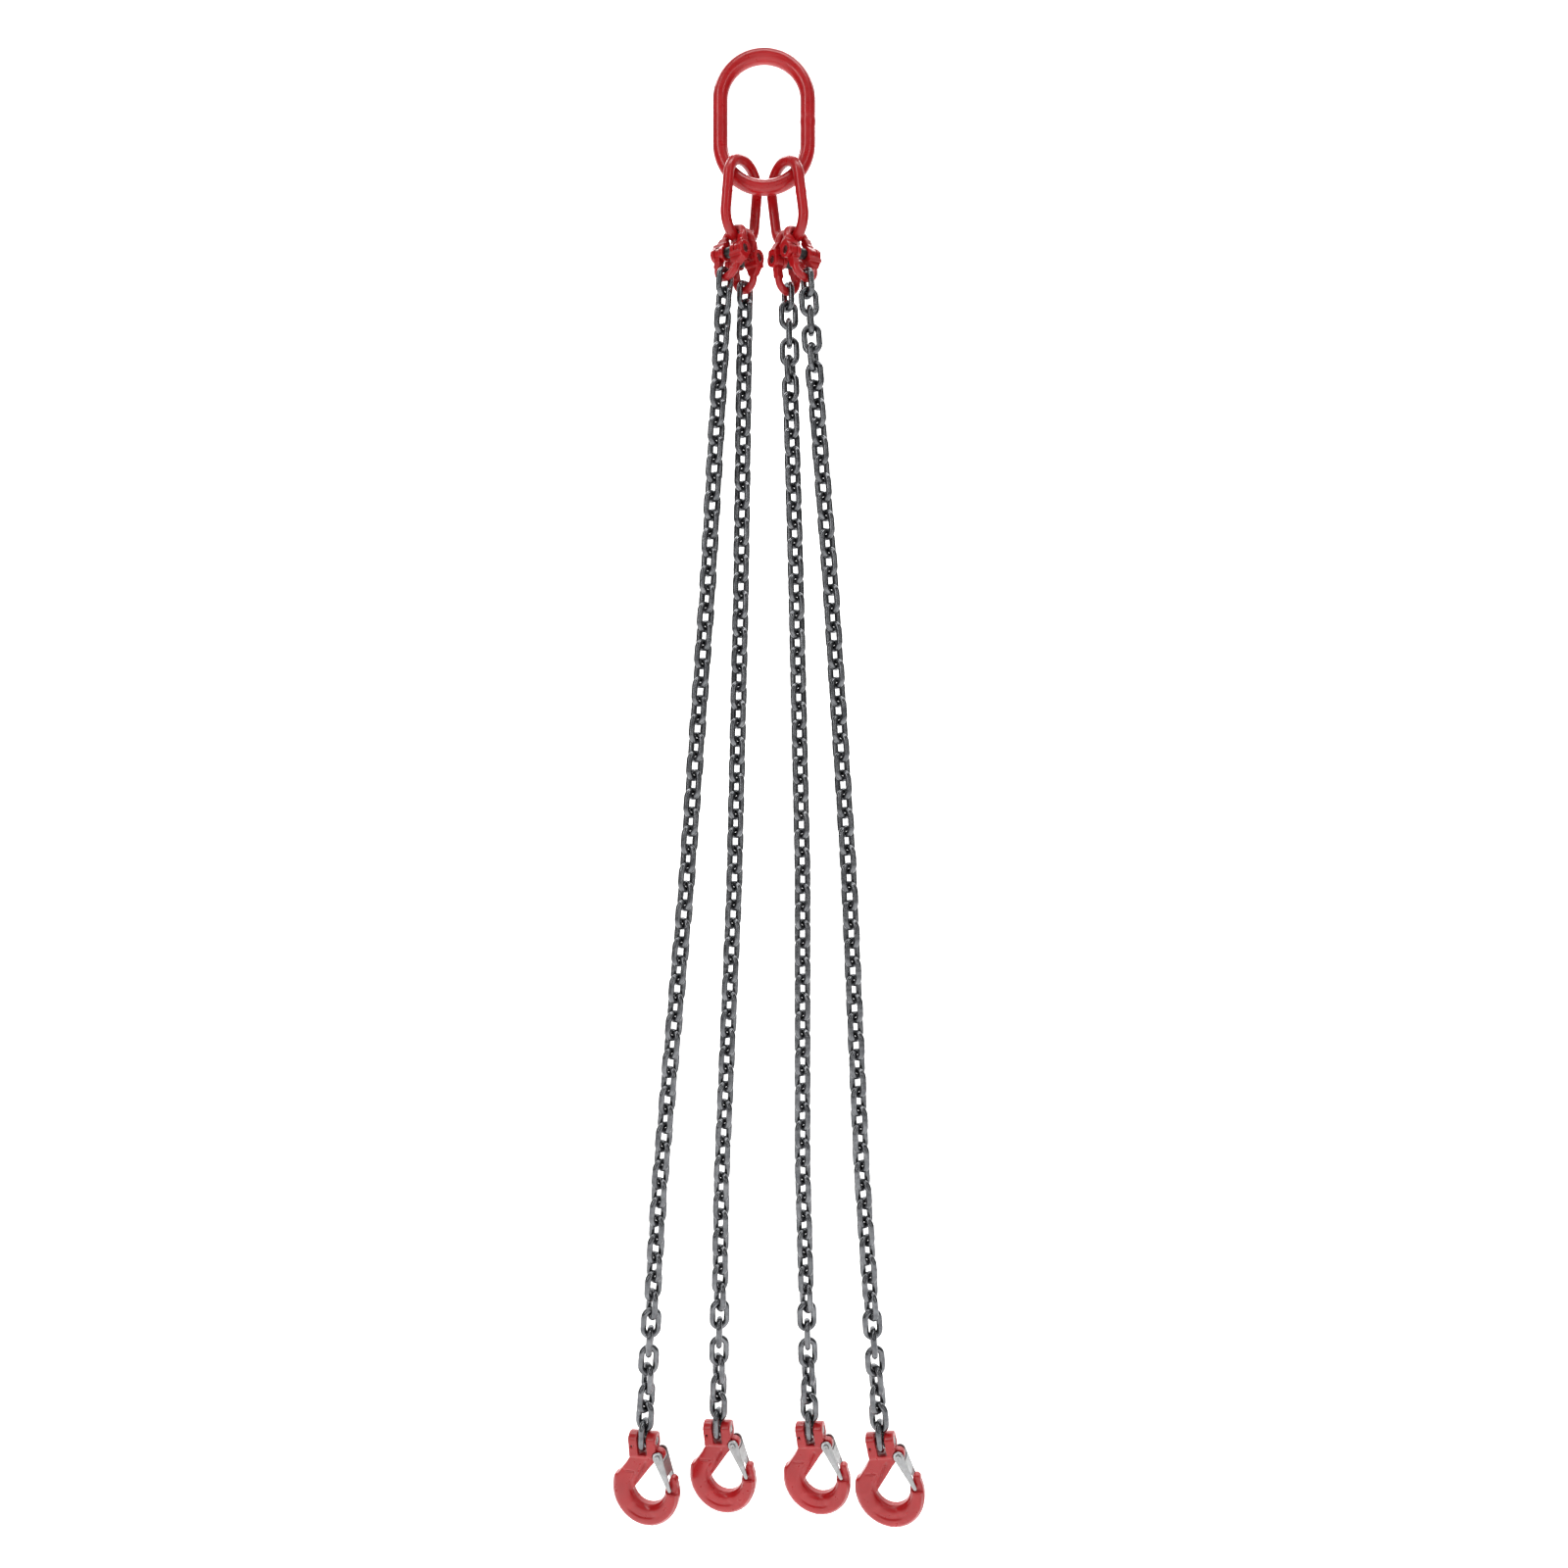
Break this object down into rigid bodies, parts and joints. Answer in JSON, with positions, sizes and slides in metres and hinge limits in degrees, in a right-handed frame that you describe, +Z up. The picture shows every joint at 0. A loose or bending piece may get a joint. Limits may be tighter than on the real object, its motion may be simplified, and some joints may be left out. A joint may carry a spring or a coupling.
{
  "type": "four leg chain sling",
  "caption": "Lifting sling: a master link carries two sub links, each with coupling links, chain legs and clevis hooks with spring latches",
  "frame": {"origin": "where a crane hook bears inside the top crown of the master link, on the sling's centre line", "axes": "+Z up along the hanging sling, X across the four legs with hook 4 towards +X, -Y towards the side the hooks are seen from"},
  "size_m": [0.4043, 0.0752, 1.9181],
  "materials": {
    "red_paint": "bright glossy red paint over forged steel",
    "chain_steel": "dark grey oiled alloy steel chain",
    "pin_steel": "bright machined steel pin",
    "dark_steel": "dark grey blackened steel",
    "zinc": "galvanised pressed steel"
  },
  "bodies": {
    "master": {"master_link": "red_paint"},
    "sub_left": {"sub_link_left": "red_paint"},
    "sub_right": {"sub_link_right": "red_paint"},
    "coupling_upper_1": {"coupling_1_upper": "red_paint"},
    "coupling_lower_1": {"coupling_1_lower": "red_paint", "load_pin_1": "pin_steel", "sleeve_1": "dark_steel"},
    "chain_1_a": {"chain_1_a": "chain_steel"},
    "chain_1_b": {"chain_1_b": "chain_steel"},
    "chain_1_c": {"chain_1_c": "chain_steel"},
    "chain_1_d": {"chain_1_d": "chain_steel"},
    "hook_1": {"hook_1": "red_paint", "clevis_pin_1": "pin_steel", "roll_pin_1": "dark_steel", "latch_spring_1": "pin_steel"},
    "latch_1": {"latch_1": "zinc", "latch_pin_1": "zinc"},
    "coupling_upper_2": {"coupling_2_upper": "red_paint"},
    "coupling_lower_2": {"coupling_2_lower": "red_paint", "load_pin_2": "pin_steel", "sleeve_2": "dark_steel"},
    "chain_2_a": {"chain_2_a": "chain_steel"},
    "chain_2_b": {"chain_2_b": "chain_steel"},
    "chain_2_c": {"chain_2_c": "chain_steel"},
    "chain_2_d": {"chain_2_d": "chain_steel"},
    "hook_2": {"hook_2": "red_paint", "clevis_pin_2": "pin_steel", "roll_pin_2": "dark_steel", "latch_spring_2": "pin_steel"},
    "latch_2": {"latch_2": "zinc", "latch_pin_2": "zinc"},
    "coupling_upper_3": {"coupling_3_upper": "red_paint"},
    "coupling_lower_3": {"coupling_3_lower": "red_paint", "load_pin_3": "pin_steel", "sleeve_3": "dark_steel"},
    "chain_3_a": {"chain_3_a": "chain_steel"},
    "chain_3_b": {"chain_3_b": "chain_steel"},
    "chain_3_c": {"chain_3_c": "chain_steel"},
    "chain_3_d": {"chain_3_d": "chain_steel"},
    "hook_3": {"hook_3": "red_paint", "clevis_pin_3": "pin_steel", "roll_pin_3": "dark_steel", "latch_spring_3": "pin_steel"},
    "latch_3": {"latch_3": "zinc", "latch_pin_3": "zinc"},
    "coupling_upper_4": {"coupling_4_upper": "red_paint"},
    "coupling_lower_4": {"coupling_4_lower": "red_paint", "load_pin_4": "pin_steel", "sleeve_4": "dark_steel"},
    "chain_4_a": {"chain_4_a": "chain_steel"},
    "chain_4_b": {"chain_4_b": "chain_steel"},
    "chain_4_c": {"chain_4_c": "chain_steel"},
    "chain_4_d": {"chain_4_d": "chain_steel"},
    "hook_4": {"hook_4": "red_paint", "clevis_pin_4": "pin_steel", "roll_pin_4": "dark_steel", "latch_spring_4": "pin_steel"},
    "latch_4": {"latch_4": "zinc", "latch_pin_4": "zinc"}
  },
  "joints": [
    {"name": "sub_left_swing", "type": "hinge", "parent": "master", "child": "sub_left", "pos_m": [-0.0275, 0, -0.15443], "axis": [0.8759, 0, -0.4825], "range_deg": [-8, 14]},
    {"name": "sub_right_swing", "type": "hinge", "parent": "master", "child": "sub_right", "pos_m": [0.0275, 0, -0.15443], "axis": [0.8759, 0, 0.4825], "range_deg": [-8, 14]},
    {"name": "coupling_1_swing", "type": "hinge", "parent": "sub_left", "child": "coupling_upper_1", "pos_m": [-0.03905, -0.00768, -0.22815], "axis": [0.5459, 0.7478, -0.3778], "range_deg": [-12, 12]},
    {"name": "leg_1_swing", "type": "hinge", "parent": "coupling_upper_1", "child": "coupling_lower_1", "pos_m": [-0.04362, -0.01128, -0.25101], "axis": [0.7909, -0.6088, -0.0622], "range_deg": [-30, 0]},
    {"name": "chain_1_top", "type": "hinge", "parent": "coupling_lower_1", "child": "chain_1_a", "pos_m": [-0.05019, -0.01624, -0.28606], "axis": [0.7909, -0.6088, -0.0622], "range_deg": [-30, 0]},
    {"name": "chain_1_bend_1", "type": "hinge", "parent": "chain_1_a", "child": "chain_1_b", "pos_m": [-0.07291, -0.01624, -0.69242], "axis": [0.706, 0.7071, -0.0395], "range_deg": [-20, 20]},
    {"name": "chain_1_bend_2", "type": "hinge", "parent": "chain_1_b", "child": "chain_1_c", "pos_m": [-0.10037, -0.01624, -1.07544], "axis": [0.7053, 0.7071, -0.0506], "range_deg": [-20, 20]},
    {"name": "chain_1_bend_3", "type": "hinge", "parent": "chain_1_c", "child": "chain_1_d", "pos_m": [-0.13451, -0.01624, -1.45792], "axis": [0.7043, 0.7071, -0.0629], "range_deg": [-20, 20]},
    {"name": "hook_1_swing", "type": "hinge", "parent": "chain_1_d", "child": "hook_1", "pos_m": [-0.1543, -0.01624, -1.7843], "axis": [0.9631, -0.2581, 0.0767], "range_deg": [-45, 30]},
    {"name": "latch_1_open", "type": "hinge", "parent": "hook_1", "child": "latch_1", "pos_m": [-0.13295, -0.02196, -1.79915], "axis": [0.2588, 0.9659, 0], "range_deg": [0, 35], "stiffness_Nm_per_rad": 0.05, "springref_deg": -28.65, "deforming": ["latch_spring_1"]},
    {"name": "coupling_2_swing", "type": "hinge", "parent": "sub_left", "child": "coupling_upper_2", "pos_m": [-0.0273, 0.00768, -0.22908], "axis": [0.5983, 0.7478, 0.2878], "range_deg": [-12, 12]},
    {"name": "leg_2_swing", "type": "hinge", "parent": "coupling_upper_2", "child": "coupling_lower_2", "pos_m": [-0.02636, 0.01128, -0.25237], "axis": [0.7909, -0.6088, -0.0622], "range_deg": [0, 30]},
    {"name": "chain_2_top", "type": "hinge", "parent": "coupling_lower_2", "child": "chain_2_a", "pos_m": [-0.02535, 0.01624, -0.28801], "axis": [0.7909, -0.6088, -0.0622], "range_deg": [0, 30]},
    {"name": "chain_2_bend_1", "type": "hinge", "parent": "chain_2_a", "child": "chain_2_b", "pos_m": [-0.03103, 0.01624, -0.69497], "axis": [0.707, 0.7071, -0.0099], "range_deg": [-20, 20]},
    {"name": "chain_2_bend_2", "type": "hinge", "parent": "chain_2_b", "child": "chain_2_c", "pos_m": [-0.03975, 0.01624, -1.07887], "axis": [0.7069, 0.7071, -0.016], "range_deg": [-20, 20]},
    {"name": "chain_2_bend_3", "type": "hinge", "parent": "chain_2_c", "child": "chain_2_d", "pos_m": [-0.0565, 0.01624, -1.46251], "axis": [0.7064, 0.7071, -0.0308], "range_deg": [-20, 20]},
    {"name": "hook_2_swing", "type": "hinge", "parent": "chain_2_d", "child": "hook_2", "pos_m": [-0.06033, 0.01624, -1.78947], "axis": [0.9583, -0.2568, 0.1253], "range_deg": [-30, 45]},
    {"name": "latch_2_open", "type": "hinge", "parent": "hook_2", "child": "latch_2", "pos_m": [-0.0383, 0.01034, -1.80322], "axis": [0.2588, 0.9659, 0], "range_deg": [0, 35], "stiffness_Nm_per_rad": 0.05, "springref_deg": -28.65, "deforming": ["latch_spring_2"]},
    {"name": "coupling_3_swing", "type": "hinge", "parent": "sub_right", "child": "coupling_upper_3", "pos_m": [0.03047, 0.00768, -0.23122], "axis": [-0.6102, 0.7478, 0.2614], "range_deg": [-12, 12]},
    {"name": "leg_3_swing", "type": "hinge", "parent": "coupling_upper_3", "child": "coupling_lower_3", "pos_m": [0.03055, 0.01128, -0.25453], "axis": [-0.7874, -0.6088, -0.0967], "range_deg": [-30, 0]},
    {"name": "chain_3_top", "type": "hinge", "parent": "coupling_lower_3", "child": "chain_3_a", "pos_m": [0.03109, 0.01624, -0.29018], "axis": [-0.7874, -0.6088, -0.0967], "range_deg": [-30, 0]},
    {"name": "chain_3_bend_1", "type": "hinge", "parent": "chain_3_a", "child": "chain_3_b", "pos_m": [0.04178, 0.01624, -0.67303], "axis": [-0.7068, 0.7071, -0.0197], "range_deg": [-20, 20]},
    {"name": "chain_3_bend_2", "type": "hinge", "parent": "chain_3_b", "child": "chain_3_c", "pos_m": [0.0505, 0.01624, -1.05693], "axis": [-0.7069, 0.7071, -0.016], "range_deg": [-20, 20]},
    {"name": "chain_3_bend_3", "type": "hinge", "parent": "chain_3_c", "child": "chain_3_d", "pos_m": [0.0505, 0.01624, -1.44093], "axis": [-0.7071, 0.7071, 0], "range_deg": [-20, 20]},
    {"name": "hook_3_swing", "type": "hinge", "parent": "chain_3_d", "child": "hook_3", "pos_m": [0.06103, 0.01624, -1.79176], "axis": [0.9524, -0.2552, 0.1668], "range_deg": [-45, 45]},
    {"name": "latch_3_open", "type": "hinge", "parent": "hook_3", "child": "latch_3", "pos_m": [0.08359, 0.01019, -1.80454], "axis": [0.2588, 0.9659, 0], "range_deg": [0, 35], "stiffness_Nm_per_rad": 0.05, "springref_deg": -28.65, "deforming": ["latch_spring_3"]},
    {"name": "coupling_4_swing", "type": "hinge", "parent": "sub_right", "child": "coupling_upper_4", "pos_m": [0.04217, -0.00768, -0.22978], "axis": [-0.5289, 0.7478, -0.4013], "range_deg": [-12, 12]},
    {"name": "leg_4_swing", "type": "hinge", "parent": "coupling_upper_4", "child": "coupling_lower_4", "pos_m": [0.04773, -0.01128, -0.25242], "axis": [0.7874, 0.6088, 0.0967], "range_deg": [-30, 0]},
    {"name": "chain_4_top", "type": "hinge", "parent": "coupling_lower_4", "child": "chain_4_a", "pos_m": [0.05582, -0.01624, -0.28714], "axis": [0.7874, 0.6088, 0.0967], "range_deg": [-30, 0]},
    {"name": "chain_4_bend_1", "type": "hinge", "parent": "chain_4_a", "child": "chain_4_b", "pos_m": [0.08521, -0.01624, -0.66901], "axis": [-0.705, 0.7071, -0.0542], "range_deg": [-20, 20]},
    {"name": "chain_4_bend_2", "type": "hinge", "parent": "chain_4_b", "child": "chain_4_c", "pos_m": [0.10932, -0.01624, -1.05226], "axis": [-0.7057, 0.7071, -0.0444], "range_deg": [-20, 20]},
    {"name": "chain_4_bend_3", "type": "hinge", "parent": "chain_4_c", "child": "chain_4_d", "pos_m": [0.12607, -0.01624, -1.43589], "axis": [-0.7064, 0.7071, -0.0308], "range_deg": [-20, 20]},
    {"name": "hook_4_swing", "type": "hinge", "parent": "chain_4_d", "child": "hook_4", "pos_m": [0.15128, -0.01624, -1.78597], "axis": [0.9448, -0.2532, 0.2079], "range_deg": [-45, 45]},
    {"name": "latch_4_open", "type": "hinge", "parent": "hook_4", "child": "latch_4", "pos_m": [0.17434, -0.02242, -1.79776], "axis": [0.2588, 0.9659, 0], "range_deg": [0, 35], "stiffness_Nm_per_rad": 0.05, "springref_deg": -28.65, "deforming": ["latch_spring_4"]}
  ]
}
